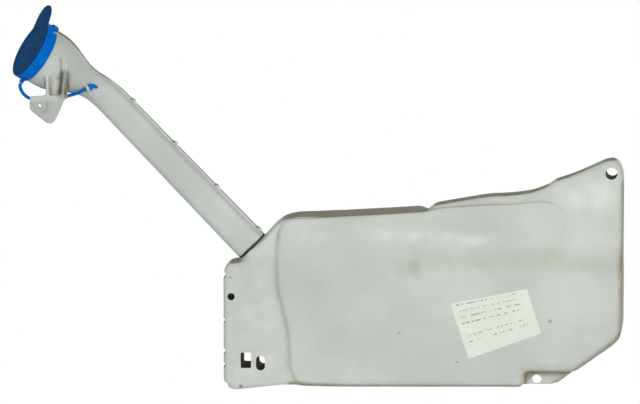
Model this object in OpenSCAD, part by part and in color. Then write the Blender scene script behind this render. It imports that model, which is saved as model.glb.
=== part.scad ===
// Washer fluid reservoir: a blow-moulded tank with a plug-in filler neck and a tethered snap cap.
// The origin is the ear's bolt hole on the ear's front face. +X runs along the tank towards the ear,
// +Z is up, and the front of the tank looks along -Y.

/* [Tank outline] */
// Ear hole to the left edge
left_reach = 369; // [355:1:385]
// Ear hole to the right edge
right_reach = 11.5; // [11:0.5:14]
// Ear hole up to the sharp corner of the ear
ear_top = 17.5; // [15:0.5:20]
// Ear hole down to the flat top
top_drop = 42; // [38:0.5:48]
// How far the flat top falls towards the left
top_fall = 2; // [0.5:0.5:6]
// Ear hole to the left end of the flat top
top_reach = 311; // [305:1:314]
// Ear hole to the step in the top edge
step_reach = 177; // [165:1:190]
// Height of the step in the top edge
step_rise = 9; // [6:0.5:11]
// Ear hole down to the high shoulder
shoulder_drop = 23; // [20:0.5:26]
// Ear hole to the left end of the high shoulder
shoulder_reach = 115; // [105:1:130]
// Length of the high shoulder
shoulder_len = 43; // [36:1:50]
// Ear hole down to the bottom
bottom_drop = 203; // [195:1:215]
// How far the bottom falls towards the left
bottom_fall = 3; // [0:0.5:6]
// Ear hole down to the top of the left end
left_top_drop = 90; // [84:1:96]
// How far the left end hangs below the bottom
left_hang = 13; // [6:1:18]
// Length of the flat on top of the left end
left_flat = 19; // [16:1:22]
// Width of the cut corner at the lower right
cut_w = 63; // [56:1:70]
// Height of the cut corner at the lower right
cut_h = 46; // [40:1:52]

/* [Tank section] */
// Wall thickness
wall = 3; // [2:0.25:3.5]
// Front of the bulge, ahead of the ear's face
front_depth = 22; // [20:0.5:30]
// Back of the bulge, behind the ear's face
back_depth = 42; // [41:0.5:55]
// Rounding of the bulge's front and back edges
edge_r = 9; // [5:0.5:10]
// Front of the left end, ahead of the ear's face
left_front = 7; // [4:0.5:8]
// Back of the left end, behind the ear's face
left_back = 28; // [26:0.5:29]
// Thickness of the ear and its flange
ear_thick = 24; // [18:0.5:26]
// Thickness of the pinched lug
lug_thick = 5; // [3:0.5:8]
// Rounding of the flange's edges
flange_r = 5; // [2:0.5:6]
// Fillet where the bulge rises from the flange
foot_r = 3; // [1:0.5:4]
// How many times wider the bulge's edge is around the pocket under the ear
pocket_soft = 2; // [1:0.1:2.2]

/* [Bulge outline] */
// Ear hole to the bulge's left side
crease_reach = 317; // [315:1:322]
// How far that side leans to the right at its foot
crease_lean = 13; // [6:1:18]
// Ear hole down to the bend at the top of the lean
crease_top_drop = 111; // [100:1:120]
// Ear hole down to the bend at the foot of the lean
crease_foot_drop = 154; // [140:1:165]
// Ear hole down to the bulge's top under the shoulder
ridge_drop = 31; // [28:0.5:36]
// Ear hole to the bulge's right side under the ear
pocket_reach = 45; // [38:1:55]
// Ear hole down to where the bulge meets the right edge
pocket_drop = 79; // [70:1:90]
// Ear hole to the left side of the lug
lug_reach = 81; // [74:1:90]
// Height of the lug
lug_h = 14; // [10:0.5:18]

/* [Tank holes] */
// Radius of the ear's bolt hole
ear_hole_r = 5.7; // [4:0.1:6.5]
// Radius of the left bolt hole
left_hole_r = 3.5; // [2.5:0.1:4.5]
// Left bolt hole to the left edge
left_hole_in = 8; // [7:0.5:9]
// Ear hole down to the left bolt hole
left_hole_drop = 123; // [110:1:135]
// Radius of the lug's open hole
lug_hole_r = 4.5; // [3:0.25:5]
// Lug hole to the left side of the lug
lug_hole_in = 11.5; // [9:0.5:16]
// Lug hole up from the tank's bottom
lug_hole_up = 3.5; // [2:0.25:4]
// Width of the square window
square_window_w = 10; // [7:0.5:11]
// Height of the square window
square_window_h = 15; // [10:0.5:17]
// Width of the round-ended window
round_window_w = 8.5; // [6:0.5:9]
// Height of the round-ended window
round_window_h = 14; // [10:0.5:16]
// Left edge to the middle of the square window
window_in = 22; // [20:0.5:24]
// Distance between the middles of the two windows
window_pitch = 14; // [13:0.5:18]
// Ear hole down to the middle of the square window
window_drop = 184.5; // [175:0.5:190]
// How far the round-ended window sits lower
window_fall = 2.5; // [0:0.5:5]

/* [Filler neck] */
// Lower corner of the slope to the middle of the port, along the slope
port_in = 15; // [14:0.5:20]
// Radius of the port's collar
collar_r = 16.5; // [16:0.5:18]
// Height of the collar's face above the slope, at the edge where the slope comes closest
collar_h = 0.8; // [0.5:0.1:8]
// Radius of the port's hole
port_r = 13; // [12.5:0.1:13.5]
// Angle of the tube above level
neck_rise = 46; // [42:1:50]
// Port to the start of the elbow
tube_len = 192; // [150:1:230]
// Half the outer width of the tube at the tank
tube_foot_r = 15.6; // [15:0.1:16.5]
// Half the outer width of the tube at the elbow
tube_top_r = 14.2; // [13.5:0.1:15]
// How square the tube's section is: 2 is round
tube_square = 4; // [2:0.5:5]
// Tube's foot to the first nub on its upper edge
nub_first = 6; // [5:0.5:12]
// Distance between the nubs
nub_pitch = 57; // [45:1:60]
// How far the nubs stand out
nub_rise = 1.8; // [1:0.1:2.4]
// Wall of the neck
neck_wall = 2.2; // [1.5:0.1:3]
// Radius of the elbow's middle line
elbow_r = 70; // [50:1:100]
// Angle of the mouth above level
mouth_rise = 32; // [28:1:38]
// Angle of the mouth towards the front
mouth_swing = 24; // [18:1:30]
// Length of the flared mouth
cup_len = 70; // [68:1:76]
// Outer radius of the flared mouth
cup_r = 27.9; // [27:0.1:30]
// Length of the flare itself
flare_len = 50; // [44:1:52]
// Length of the spigot inside the tank, from the collar's face
spigot_len = 16; // [12:0.5:22]
// Radius of the spigot
spigot_r = 11; // [10:0.1:11.4]

/* [Neck fixings] */
// Thickness of the fixing tab and of its fins
tab_thick = 3; // [2:0.25:4]
// Width of the tab
tab_w = 34; // [30:1:40]
// Height of the tab
tab_h = 26; // [22:1:32]
// Rim down to the top of the tab
tab_drop = 42; // [40:1:48]
// Left side of the tab to its slot
slot_in = 10; // [8:0.5:12]
// Top of the tab down to its slot
slot_drop = 9; // [7:0.5:12]
// Width of the tab's slot
slot_w = 2.6; // [2:0.1:3.5]
// Length of the tab's slot
slot_len = 5.6; // [4:0.1:7]
// Outer radius of the tether's eyelet
eyelet_r = 4; // [3.5:0.1:4.5]
// Length of the tether's eyelet
eyelet_len = 3.5; // [2.5:0.1:4.5]

/* [Cap and tether] */
// Thickness of the cap's top and skirt
cap_wall = 1.6; // [1.2:0.1:2]
// Depth of the cap's skirt
skirt_h = 9; // [7:0.5:10]
// Reach of the thumb ear from the cap's middle
thumb_reach = 40.5; // [37:0.5:46]
// Radius of the thumb ear's tip
thumb_r = 8; // [6:0.5:10]
// Radius of the hollows beside the thumb ear
thumb_blend = 20; // [12:1:30]
// Width of the notch in the skirt
notch_w = 6; // [4:0.5:8]
// Height of the notch in the skirt
notch_h = 4.5; // [3:0.25:6]
// Radius of the tether
tether_r = 1.6; // [1.2:0.1:1.9]
// Radius of the tether's barb
barb_r = 3.6; // [3:0.1:4.2]

/* [Seals and label] */
// Radius of the outlet hole in the back
outlet_r = 11; // [9:0.25:13]
// Radius of the bore of the pump's grommet
pump_bore_r = 7.5; // [6:0.1:8]
// Thickness of a grommet's flange
grommet_flange = 1.5; // [1.5:0.25:3]
// Ear hole to the outlet hole
outlet_reach = 250; // [200:1:270]
// Outlet hole up from the bottom
outlet_up = 24; // [22:1:40]
// Ear hole to the label's upper left corner
label_reach = 151.5; // [135:0.5:165]
// Ear hole down to the label's upper left corner
label_drop = 122.5; // [118:0.5:130]
// Width of the label
label_w = 75; // [60:1:80]
// Height of the label's left side
label_left_h = 57; // [40:1:60]
// Height of the label's right side
label_right_h = 45; // [40:1:60]
// Turn of the label's top edge
label_turn = 11.5; // [0:0.5:18]
// Lean of the label's sides
label_lean = 18.5; // [0:0.5:20]
// Thickness of the label
label_thick = 0.3; // [0.2:0.05:0.5]

/* [Clearances] */
// Gap between the cap's skirt and the mouth
cap_gap = 0.9; // [0.8:0.05:1.2]
// Gap between the cap's top and the rim
rim_gap = 0.3; // [0.2:0.05:0.5]
// Gap between a grommet and what it seals
seal_gap = 0.1; // [0.05:0.05:0.2]
// Gap between the tether and its eyelet
tether_gap = 0.4; // [0.3:0.05:0.6]

/* [Hidden] */
$fn = 96;

plastic = [0.76, 0.79, 0.75];
blue = [0.02, 0.25, 0.62];
rubber = [0.08, 0.08, 0.08];
paper = [0.88, 0.89, 0.84];

// Corners of the tank's outline rows, as [x, z]
left_x = -left_reach;
square_window = [left_x + window_in, -window_drop];
round_window = square_window + [window_pitch, -window_fall];
// The left end hangs below the bottom, and keeps some land under its windows
window_land = 8;
window_foot = min(square_window.y - square_window_h / 2, round_window.y - round_window_h / 2);
left_z = min(-bottom_drop - left_hang, window_foot - window_land);
left_top_z = -left_top_drop;
step_low = [-step_reach, -top_drop];
step_high = step_low + [step_rise, step_rise];
shoulder_left = [-shoulder_reach, -shoulder_drop];
shoulder_right = shoulder_left + [shoulder_len, 0];
ear_corner = [right_reach, ear_top];
shelf_right = [right_reach, -pocket_drop];
cut_top = [right_reach, cut_h - bottom_drop];
cut_foot = [right_reach - cut_w, -bottom_drop];
lug_z = lug_h - bottom_drop;
lug_right = [right_reach - cut_w * (cut_h - lug_h) / cut_h, lug_z];
lug_foot = [-lug_reach, -bottom_drop];
crease_foot_x = crease_lean - crease_reach;
bulge_foot = [crease_foot_x, -bottom_drop - bottom_fall];
slope_foot = [left_x + left_flat, left_top_z];
top_left = [-top_reach, -top_drop - top_fall];
ear_slope = (shoulder_right + ear_corner) / 2;
// The crease bows to the left above its foot and runs straight above its bend
crease_bow = 2;
crease_straight = 30;
// The bulge's upper left corner stands out past the flange, and its top dips under the step
bulge_lip = [2.5, 2];
step_dip = 6;
ridge_lead = 5;
// Runs in which the lug swells into the bottom, the left end's hang dies away and the bulge's foot is rounded
lug_blend = 3;
lug_swell = lug_foot - [6 * lug_blend, 0];
hang_end = bulge_foot + [9, 0];
foot_end = bulge_foot + [30, 0];

// Bolt hole of the left end
left_hole = [left_x + left_hole_in, -left_hole_drop];
// The left end is pinched solid as far as this line, which keeps the bolt hole out of the cavity
pinch_x = left_hole.x + left_hole_r;

// Rows of the skin, clockwise from the lower left as seen from the front. Each row gives the flange's
// corner and rounding reach, the depth of the flange's front and back, how much of the flange's edge
// rounding applies, the bulge's corner and reach, the corner and reach that the cavity follows, and how
// many times wider than deep the bulge's edge is.
rows = [
    [[left_x, left_z], 12, -left_front, left_back, 1, bulge_foot, 16, [pinch_x, left_z], 8, 1],
    [[left_x, -crease_foot_drop], 6, -left_front, left_back, 1,
        [crease_foot_x - crease_bow, -crease_foot_drop], 12, [pinch_x, -crease_foot_drop], 4, 1],
    [[left_x, left_top_z], 11, -left_front, left_back, 1,
        [-crease_reach, -crease_top_drop], 12, [pinch_x, left_top_z], 2, 1],
    [slope_foot, 4, -left_front, left_back, 1,
        [-crease_reach, crease_straight - crease_top_drop], 6, slope_foot, 2, 1],
    [top_left, 13, -left_front, left_back, 0, top_left - bulge_lip, 11, top_left, 13, 1],
    [step_low, 4, 0, ear_thick, 0, step_low, 4, step_low, 4, 1],
    [step_high, 4, 0, ear_thick, 0.7, step_high + [step_dip / 2, -step_dip], 5, step_high, 4, 1],
    [shoulder_left, 10, 0, ear_thick, 0.8,
        [shoulder_left.x - ridge_lead, -ridge_drop], 14, shoulder_left, 10, 1],
    [shoulder_right, 8, 0, ear_thick, 0.8, [shoulder_right.x, -ridge_drop], 5, shoulder_right, 8, 1],
    [ear_slope, 5, 0, ear_thick, 1, [-pocket_reach, -ridge_drop], 14, ear_slope, 5, pocket_soft],
    [ear_corner, 18, 0, ear_thick, 1,
        [-pocket_reach, -pocket_drop], 12, [right_reach, -2 * ear_hole_r], 6, pocket_soft],
    [shelf_right, 5, 0, ear_thick, 0, shelf_right, 10, shelf_right, 5, pocket_soft],
    [cut_top, 10, 0, ear_thick, 0, cut_top, 10, cut_top, 10, 1],
    [lug_right, 3, 0, lug_thick, 0, lug_right, 4, lug_right, 4, 1],
    [cut_foot, 8, 0, lug_thick, 0.4,
        [cut_foot.x - lug_blend, lug_z], 4, [cut_foot.x - lug_blend, lug_z], 4, 1],
    [lug_foot + [lug_hole_in, 0], 3, 0, lug_thick, 0.4, [-lug_reach, lug_z], 5, [-lug_reach, lug_z], 5, 1],
    [lug_foot - [lug_blend, 0], 3, 0, lug_thick, 0, lug_foot, 5, lug_foot, 5, 1],
    [lug_swell, 4, 0, ear_thick, 0, lug_swell, 4, lug_swell, 4, 1],
    [hang_end, 8, -left_front, left_back, 0, foot_end, 8, hang_end, 8, 1],
];
corner_steps = 3;
cavity_mid = lug_thick + wall;

function column(k) = [for (row = rows) row[k]];
function unit(v) = v / norm(v);
function previous(list, i) = list[(i + len(list) - 1) % len(list)];
function next(list, i) = list[(i + 1) % len(list)];
function outward(from, to) = let (d = unit(to - from)) [-d.y, d.x];
function spread(values) = [for (v = values) for (s = [0 : corner_steps]) v];

// Tangent of half the turn at a corner: positive where the outline is convex
function half_turn(corners, i) =
    let (before = unit(corners[i] - previous(corners, i)), after = unit(next(corners, i) - corners[i]))
    -(before.x * after.y - before.y * after.x) / (1 + before * after);

// Corners moved inwards by depth, each by its own share
function moved_in(corners, depth, share) = [
    for (i = [0 : len(corners) - 1])
        let (a = outward(previous(corners, i), corners[i]), b = outward(corners[i], next(corners, i)))
        corners[i] - depth * share[i] * (a + b) / (1 + a * b)
];

// A closed outline with every corner turned into an arc that starts at its reach from the corner
function rounded(corners, reaches) = [
    for (i = [0 : len(corners) - 1])
        let (c = corners[i], start = c + reaches[i] * unit(previous(corners, i) - c),
            end = c + reaches[i] * unit(next(corners, i) - c),
            weight = 1 / sqrt(1 + pow(half_turn(corners, i), 2)))
        for (s = [0 : corner_steps])
            let (t = s / corner_steps, a = (1 - t) * (1 - t), b = 2 * t * (1 - t) * weight, e = t * t)
            (a * start + b * c + e * end) / (a + b + e)
];

// The same outline moved inwards, with its arcs kept concentric
function inset(corners, reaches, depth, share) =
    rounded(moved_in(corners, depth, share),
        [for (i = [0 : len(corners) - 1]) max(1, reaches[i] - depth * share[i] * half_turn(corners, i))]);

function ring(outline, depths) = [for (i = [0 : len(outline) - 1]) [outline[i].x, depths[i], outline[i].y]];
function level(y) = [for (row = rows) for (s = [0 : corner_steps]) y];

// Rings of one half of the skin, from the face to the flange's edge: side is -1 at the front, 1 at the back
function half_rings(side, skin, face, flange_corners, flange_reaches, flange_depths) =
    let (all = [for (row = rows) 1], share = column(4), gap = [for (s = share) max(s, 0.3)],
        bulge = column(5), reach = column(6), soft = column(9), r = edge_r - skin,
        flange = spread(flange_depths), g = spread(gap))
    [
        for (turn = [90, 45, 0])
            ring(inset(bulge, reach, 1, [for (s = soft) skin + r * (1 - cos(turn)) * s]),
                level(side * (face - r + r * sin(turn)))),
        ring(inset(bulge, reach, skin, all), flange + side * foot_r * g),
        ring(inset(moved_in(bulge, -foot_r, share), reach, skin, all), flange + side * foot_r * g / 4),
        ring(inset(moved_in(flange_corners, flange_r, share), flange_reaches, skin, all), flange),
        ring(inset(moved_in(flange_corners, flange_r * 0.3, share), flange_reaches, skin, all),
            flange - side * flange_r * g * 0.3),
        ring(inset(flange_corners, flange_reaches, skin, all), flange - side * flange_r * g)
    ];

function reversed(list) = [for (i = [len(list) - 1 : -1 : 0]) list[i]];
function mean(points) = [for (p = points) 1] * points / len(points);

// A closed solid through rings that run from the back to the front
module skin(rings) {
    n = len(rings[0]);
    last = len(rings) * n;
    polyhedron(
        points = concat([for (r = rings) each r], [mean(rings[0]), mean(rings[len(rings) - 1])]),
        faces = concat(
            [for (i = [0 : n - 1]) [last, (i + 1) % n, i]],
            [for (j = [0 : len(rings) - 2]) for (i = [0 : n - 1]) let (k = (i + 1) % n)
                each [[j * n + i, j * n + k, j * n + n + k], [j * n + i, j * n + n + k, j * n + n + i]]],
            [for (i = [0 : n - 1]) [last + 1, last - n + i, last - n + (i + 1) % n]]
        )
    );
}

module outer_skin() {
    skin(concat(
        half_rings(1, 0, back_depth, column(0), column(1), column(3)),
        reversed(half_rings(-1, 0, front_depth, column(0), column(1), column(2)))
    ));
}

// The cavity follows the outer skin at the wall's thickness, and leaves out what is pinched solid
module inner_skin() {
    hollow = [for (row = rows) row[3] - row[2] > 4 * wall];
    backs = [for (i = [0 : len(rows) - 1]) hollow[i] ? rows[i][3] - wall : cavity_mid + wall];
    fronts = [for (i = [0 : len(rows) - 1]) hollow[i] ? rows[i][2] + wall : cavity_mid - wall];
    skin(concat(
        half_rings(1, wall, back_depth - wall, column(7), column(8), backs),
        reversed(half_rings(-1, wall, front_depth - wall, column(7), column(8), fronts))
    ));
}

module along_y(at, r, from, to) {
    translate([at.x, from, at.y]) rotate([-90, 0, 0]) cylinder(r = r, h = to - from);
}

// A shape drawn in X and Z, carried from one depth to another
module slab(from, to) {
    translate([0, to, 0]) rotate([90, 0, 0]) linear_extrude(height = to - from) children();
}

module window_shapes(grow) {
    translate(square_window)
        square([square_window_w + 2 * grow, square_window_h + 2 * grow], center = true);
    translate(round_window) {
        square([round_window_w + 2 * grow, round_window_h - round_window_w], center = true);
        for (side = [-1, 1])
            translate([0, side * (round_window_h - round_window_w) / 2])
                circle(r = round_window_w / 2 + grow);
    }
}

// Frames of the port and of the mouth
function frame_matrix(at, x, z) =
    let (y = cross(z, x))
    [[x.x, y.x, z.x, at.x], [x.y, y.y, z.y, at.y], [x.z, y.z, z.z, at.z], [0, 0, 0, 1]];

slope_dir = unit(top_left - slope_foot);
port_middle = slope_foot + port_in * slope_dir;
port_at = [port_middle.x, (left_back - left_front) / 2, port_middle.y];
tube_dir = [-cos(neck_rise), 0, sin(neck_rise)];
mouth_level = [-cos(mouth_swing), -sin(mouth_swing), 0];
mouth_dir = cos(mouth_rise) * mouth_level + [0, 0, sin(mouth_rise)];
bend_angle = acos(tube_dir * mouth_dir);
bend_dir = unit(mouth_dir - (mouth_dir * tube_dir) * tube_dir);
elbow_at = port_at + tube_len * tube_dir;
elbow_end = elbow_at + elbow_r * (sin(bend_angle) * tube_dir + (1 - cos(bend_angle)) * bend_dir);
rim_at = elbow_end + cup_len * mouth_dir;
uphill = unit([0, 0, 1] - mouth_dir.z * mouth_dir);
// Height of the collar's face on the port's axis, from the tilt between the slope and the face
slope_tilt = acos(tube_dir.z * slope_dir.x - tube_dir.x * slope_dir.y);
seat_z = collar_h + collar_r * tan(slope_tilt);

module port_frame() {
    multmatrix(frame_matrix(port_at, bend_dir, tube_dir)) children();
}

module mouth_frame() {
    multmatrix(frame_matrix(rim_at, uphill, mouth_dir)) children();
}

// How far the port's collar and hole reach into the tank, and how far a cutter passes what it cuts
collar_root = 8;
port_depth = 22;
proud = 1;
// Edge breaks and lead-ins of the turned and moulded edges
chamfer = 0.8;
lead_in = 2;
outlet_at = [-outlet_reach, outlet_up - bottom_drop];

// The ear's block and the left edge are solid round their bolt holes, and the shell ends where they begin
ear_beside = 5;
ear_under = 2.5;

module ear_zone() {
    translate([-ear_hole_r - ear_beside, -proud, -ear_hole_r - ear_under])
        cube([right_reach + ear_hole_r + ear_beside + proud, ear_thick + 2 * proud,
            ear_top + ear_hole_r + ear_under + proud]);
}

module edge_zone() {
    translate([left_x - proud, -left_front - proud, left_z - proud])
        cube([pinch_x + wall / 2 - left_x + proud, left_front + left_back + 2 * proud,
            left_top_z - left_z + 2 * proud]);
}

module tank_ear() {
    color(plastic) difference() {
        intersection() {
            outer_skin();
            ear_zone();
        }
        along_y([0, 0], ear_hole_r, -proud, ear_thick + proud);
    }
}

module tank_edge() {
    color(plastic) difference() {
        intersection() {
            outer_skin();
            edge_zone();
        }
        along_y(left_hole, left_hole_r, -left_front - proud, left_back + proud);
    }
}

module tank() {
    color(plastic) difference() {
        union() {
            outer_skin();
            port_frame() translate([0, 0, -collar_root])
                cylinder(r = collar_r, h = collar_root + seat_z);
        }
        difference() {
            inner_skin();
            slab(-front_depth, back_depth) window_shapes(wall);
        }
        port_frame() translate([0, 0, -port_depth])
            cylinder(r = port_r, h = port_depth + seat_z + proud);
        ear_zone();
        edge_zone();
        along_y(lug_foot + [lug_hole_in, lug_hole_up], lug_hole_r, -proud, lug_thick + proud);
        along_y(outlet_at, outlet_r, back_depth - 2 * wall, back_depth + proud);
        slab(-front_depth, back_depth) window_shapes(0);
    }
}

// Rubber sleeve in the port with a flange on the collar's face, under the tube's shoulder
sleeve_len = 9;
shoulder_z = seat_z + grommet_flange;

module neck_grommet() {
    sleeve_r = port_r - seal_gap;
    flange_out = collar_r - seal_gap;
    color(rubber) port_frame() rotate_extrude() polygon([
        [spigot_r + seal_gap, seat_z - sleeve_len],
        [sleeve_r - chamfer, seat_z - sleeve_len],
        [sleeve_r, seat_z - sleeve_len + lead_in],
        [sleeve_r, seat_z],
        [flange_out, seat_z],
        [flange_out, shoulder_z],
        [spigot_r + seal_gap, shoulder_z]
    ]);
}

// Outer radius of the mouth at a distance from the elbow
function flare(s) = tube_top_r + (cup_r - tube_top_r) * (1 - cos(180 * min(1, s / flare_len))) / 2;
flare_steps = 8;
flare_line = [for (k = [0 : flare_steps]) let (s = flare_len * k / flare_steps) [flare(s), s - cup_len]];
// The rim that the cap covers, and the step under the skirt's edge
mouth_r = cup_r - cap_gap;
skirt_lift = 1.5;
cup_shoulder = -skirt_h - skirt_lift;
// The tube runs this far into the mouth, a little inside its surface
seam = 1;
seam_step = 0.3;
// The fins stand proud of the mouth's front, which is furthest forward at the tab's seat below the rim
fin_proud = 0.6;
tab_seat = 20;
tab_front = rim_at.y - tab_seat * mouth_dir.y - cup_r * sqrt(1 - mouth_dir.y * mouth_dir.y) - fin_proud;

// Sections of the tube: a squarish one up the straight part, turned and rounded through the elbow
function turned(v, axis, angle) =
    v * cos(angle) + cross(axis, v) * sin(angle) + axis * (axis * v) * (1 - cos(angle));
function squared(c, power) = sign(c) * pow(abs(c), 2 / power);
section_points = 32;
elbow_steps = 6;
tube_side = [tube_dir.z, 0, -tube_dir.x];
bend_axis = cross(tube_dir, bend_dir);

function tube_ring(at, angle, half, power) =
    let (side = turned(tube_side, bend_axis, angle), depth = turned([0, 1, 0], bend_axis, angle))
    [for (k = [0 : section_points - 1]) let (t = 360 * k / section_points)
        at + half * (squared(cos(t), power) * side + squared(sin(t), power) * depth)];

// A solid through the tube's sections, taken in by skin, that starts at a height on the port's axis
module tube_solid(skin, start) {
    rings = concat(
        [tube_ring(port_at + start * tube_dir, 0, tube_foot_r - skin, tube_square)],
        [for (k = [0 : elbow_steps])
            let (t = k / elbow_steps, angle = bend_angle * t)
            tube_ring(elbow_at + elbow_r * (sin(angle) * tube_dir + (1 - cos(angle)) * bend_dir), angle,
                tube_top_r - skin - seam_step * t, tube_square + (2 - tube_square) * t)],
        [tube_ring(elbow_end + seam * mouth_dir, bend_angle, tube_top_r - skin - seam_step, 2)]
    );
    skin(reversed(rings));
}

// Nubs along the tube's upper edge
module nubs() {
    nub_r = 4;
    nub_w = 12;
    for (k = [0 : floor((tube_len - shoulder_z - nub_first) / nub_pitch)]) {
        along = shoulder_z + nub_first + k * nub_pitch;
        half = tube_foot_r + (tube_top_r - tube_foot_r) * along / tube_len;
        translate(port_at + along * tube_dir + (half + nub_rise - nub_r) * tube_side) rotate([90, 0, 0])
            cylinder(r = nub_r, h = nub_w, center = true);
    }
}

// The spigot in the grommet, and its bore
module spigot() {
    spigot_end = seat_z - spigot_len;
    port_frame() rotate_extrude() polygon([
        [0, spigot_end], [spigot_r - chamfer, spigot_end], [spigot_r, spigot_end + lead_in],
        [spigot_r, shoulder_z + neck_wall / 2], [0, shoulder_z + neck_wall / 2]
    ]);
}

module spigot_bore() {
    port_frame() translate([0, 0, seat_z - spigot_len - proud])
        cylinder(r = spigot_r - neck_wall, h = spigot_len + grommet_flange + 2 * neck_wall + proud);
}

module mouth_solid() {
    rotate_extrude() polygon(concat(
        [[0, -cup_len]],
        flare_line,
        [[cup_r, cup_shoulder], [mouth_r, cup_shoulder + cap_gap], [mouth_r, -lead_in],
            [mouth_r - cap_gap, 0], [0, 0]]
    ));
}

module mouth_bore() {
    rotate_extrude() polygon(concat(
        [[0, -cup_len]],
        [for (p = flare_line) p - [neck_wall, 0]],
        [[mouth_r - neck_wall, cup_shoulder - cap_gap], [mouth_r - neck_wall, proud], [0, proud]]
    ));
}

// The fixing tab as a shield with round corners, from the rim's middle
module tab_shape() {
    tip_r = 6;
    side_r = 5;
    corner_r = 2;
    hull() {
        translate([corner_r, -tab_drop - corner_r]) circle(r = corner_r, $fn = 32);
        translate([tab_w - corner_r, -tab_drop]) circle(r = corner_r, $fn = 32);
        translate([tab_w - side_r - corner_r, -tab_drop - tab_h / 2]) circle(r = corner_r, $fn = 32);
        translate([tab_w - 2.5 * tip_r, -tab_drop - tab_h + tip_r]) circle(r = tip_r, $fn = 32);
        translate([side_r, -tab_drop - tab_h / 2 + side_r / 2]) circle(r = side_r, $fn = 32);
    }
}

module slot_shape() {
    square([slot_w, slot_len - slot_w], center = true);
    for (side = [-1, 1]) translate([0, side * (slot_len - slot_w) / 2]) circle(r = slot_w / 2);
}

// The tab stands on two fins that run down the front of the mouth, and has a low boss around its slot
module tab_and_fins() {
    fin_depth = 22;
    fin_top = -9;
    slot_lean = 20;
    boss_r = 5;
    boss_h = 0.6;
    translate([rim_at.x, tab_front, rim_at.z]) difference() {
        union() {
            slab(0, tab_thick) tab_shape();
            along_y([slot_in, -tab_drop - slot_drop], boss_r, -boss_h, tab_thick);
            for (x = [(tab_w - tab_thick) / 2, tab_w - tab_thick])
                translate([x, 0, -tab_drop - tab_thick])
                    cube([tab_thick, fin_depth, tab_drop + tab_thick + fin_top]);
        }
        slab(-proud, tab_thick + proud) translate([slot_in, -tab_drop - slot_drop])
            rotate(slot_lean) slot_shape();
    }
}

module filler_neck() {
    color(plastic) difference() {
        union() {
            tube_solid(0, shoulder_z);
            nubs();
            spigot();
            mouth_frame() mouth_solid();
            tab_and_fins();
            mouth_frame() multmatrix(frame_matrix(eyelet_at, [0, 1, 0], eyelet_dir))
                cylinder(r = eyelet_r, h = eyelet_len, center = true);
        }
        tube_solid(neck_wall, shoulder_z + neck_wall);
        spigot_bore();
        mouth_frame() mouth_bore();
        mouth_frame() multmatrix(frame_matrix(eyelet_at, [0, 1, 0], eyelet_dir))
            cylinder(r = tether_r + tether_gap, h = 3 * eyelet_len, center = true);
    }
}

// The cap: a top on the rim, a skirt around the mouth, a thumb ear and the lug where the tether starts
skirt_in = mouth_r + cap_gap;
skirt_out = skirt_in + cap_wall;
cap_top = rim_gap + cap_wall;
root_len = 2 * tether_r;
notch_turn = -30;
block_turn = -14;

// A snap block on the skirt between the ear and the notch
block_w = 8;
block_out = 1.5;
block_drop = 1.2;

// The thumb ear runs into the cap's edge through two hollow arcs
module thumb_shape() {
    tip_x = thumb_reach - thumb_r;
    from_cap = skirt_out + thumb_blend;
    from_tip = thumb_r + thumb_blend;
    hollow_x = (from_cap * from_cap - from_tip * from_tip + tip_x * tip_x) / (2 * tip_x);
    hollow_y = sqrt(from_cap * from_cap - hollow_x * hollow_x);
    base = skirt_out / from_cap * [hollow_x, hollow_y];
    tip = [tip_x, 0] + thumb_r / from_tip * [hollow_x - tip_x, hollow_y];
    difference() {
        polygon([[0, 0], base, tip, [tip.x, -tip.y], [base.x, -base.y]]);
        for (side = [-1, 1]) translate([hollow_x, side * hollow_y]) circle(r = thumb_blend);
    }
    translate([tip_x, 0]) circle(r = thumb_r);
}

module filler_cap() {
    color(blue) mouth_frame() difference() {
        union() {
            rotate_extrude() polygon([
                [0, rim_gap], [skirt_in, rim_gap], [skirt_in, -skirt_h], [skirt_out, -skirt_h],
                [skirt_out, cap_top - chamfer], [skirt_out - chamfer, cap_top], [0, cap_top]
            ]);
            translate([0, 0, rim_gap]) linear_extrude(height = cap_wall) thumb_shape();
            translate([-skirt_out - root_len, -1.5 * tether_r, -skirt_h])
                cube([root_len + cap_wall / 2, 3 * tether_r, 2 * tether_r]);
            rotate([0, 0, block_turn])
                translate([skirt_out - cap_wall / 2, -block_w / 2, -skirt_h - block_drop])
                    cube([cap_wall / 2 + block_out, block_w, skirt_h / 2 + block_drop]);
        }
        rotate([0, 0, notch_turn]) translate([skirt_in - proud, -notch_w / 2, -skirt_h - proud])
            cube([cap_wall + 2 * proud, notch_w, notch_h + proud]);
    }
}

// The tether's route in the mouth's frame: out of the cap's lug, under the mouth and through the eyelet
route = [
    [-skirt_out - root_len - rim_gap, 0, tether_r - skirt_h], [-36.5, 0, -9], [-40, 1, -15], [-41, 2, -23],
    [-37.5, 1.5, -32], [-31.5, -1.5, -41], [-22, -8, -50.5], [-14.5, -13.5, -56.5], [-8, -16.5, -60],
    [-3.3, -17, -63.5], [0, -17, -70]
];
eyelet_at = (route[8] + route[9]) / 2;
eyelet_dir = unit(route[9] - route[8]);
route_steps = 3;

// A smooth curve through the route's points
function through(p, i, t) =
    let (a = p[max(i - 1, 0)], b = p[i], c = p[i + 1], d = p[min(i + 2, len(p) - 1)])
    (2 * b + (c - a) * t + (2 * a - 5 * b + 4 * c - d) * t * t + (3 * b - a - 3 * c + d) * t * t * t) / 2;

// The barb sits just past the eyelet and narrows to the strap's tail
barb_gap = 0.6;
barb_len = 4.5;
tail_r = 1.3;
strap_path = concat(
    [for (i = [0 : 7]) for (k = [0 : route_steps - 1]) through(route, i, k / route_steps)],
    [eyelet_at - eyelet_len * eyelet_dir, eyelet_at + (eyelet_len / 2 + barb_gap / 2) * eyelet_dir]
);
barb_at = eyelet_at + (eyelet_len / 2 + barb_gap) * eyelet_dir;

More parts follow.
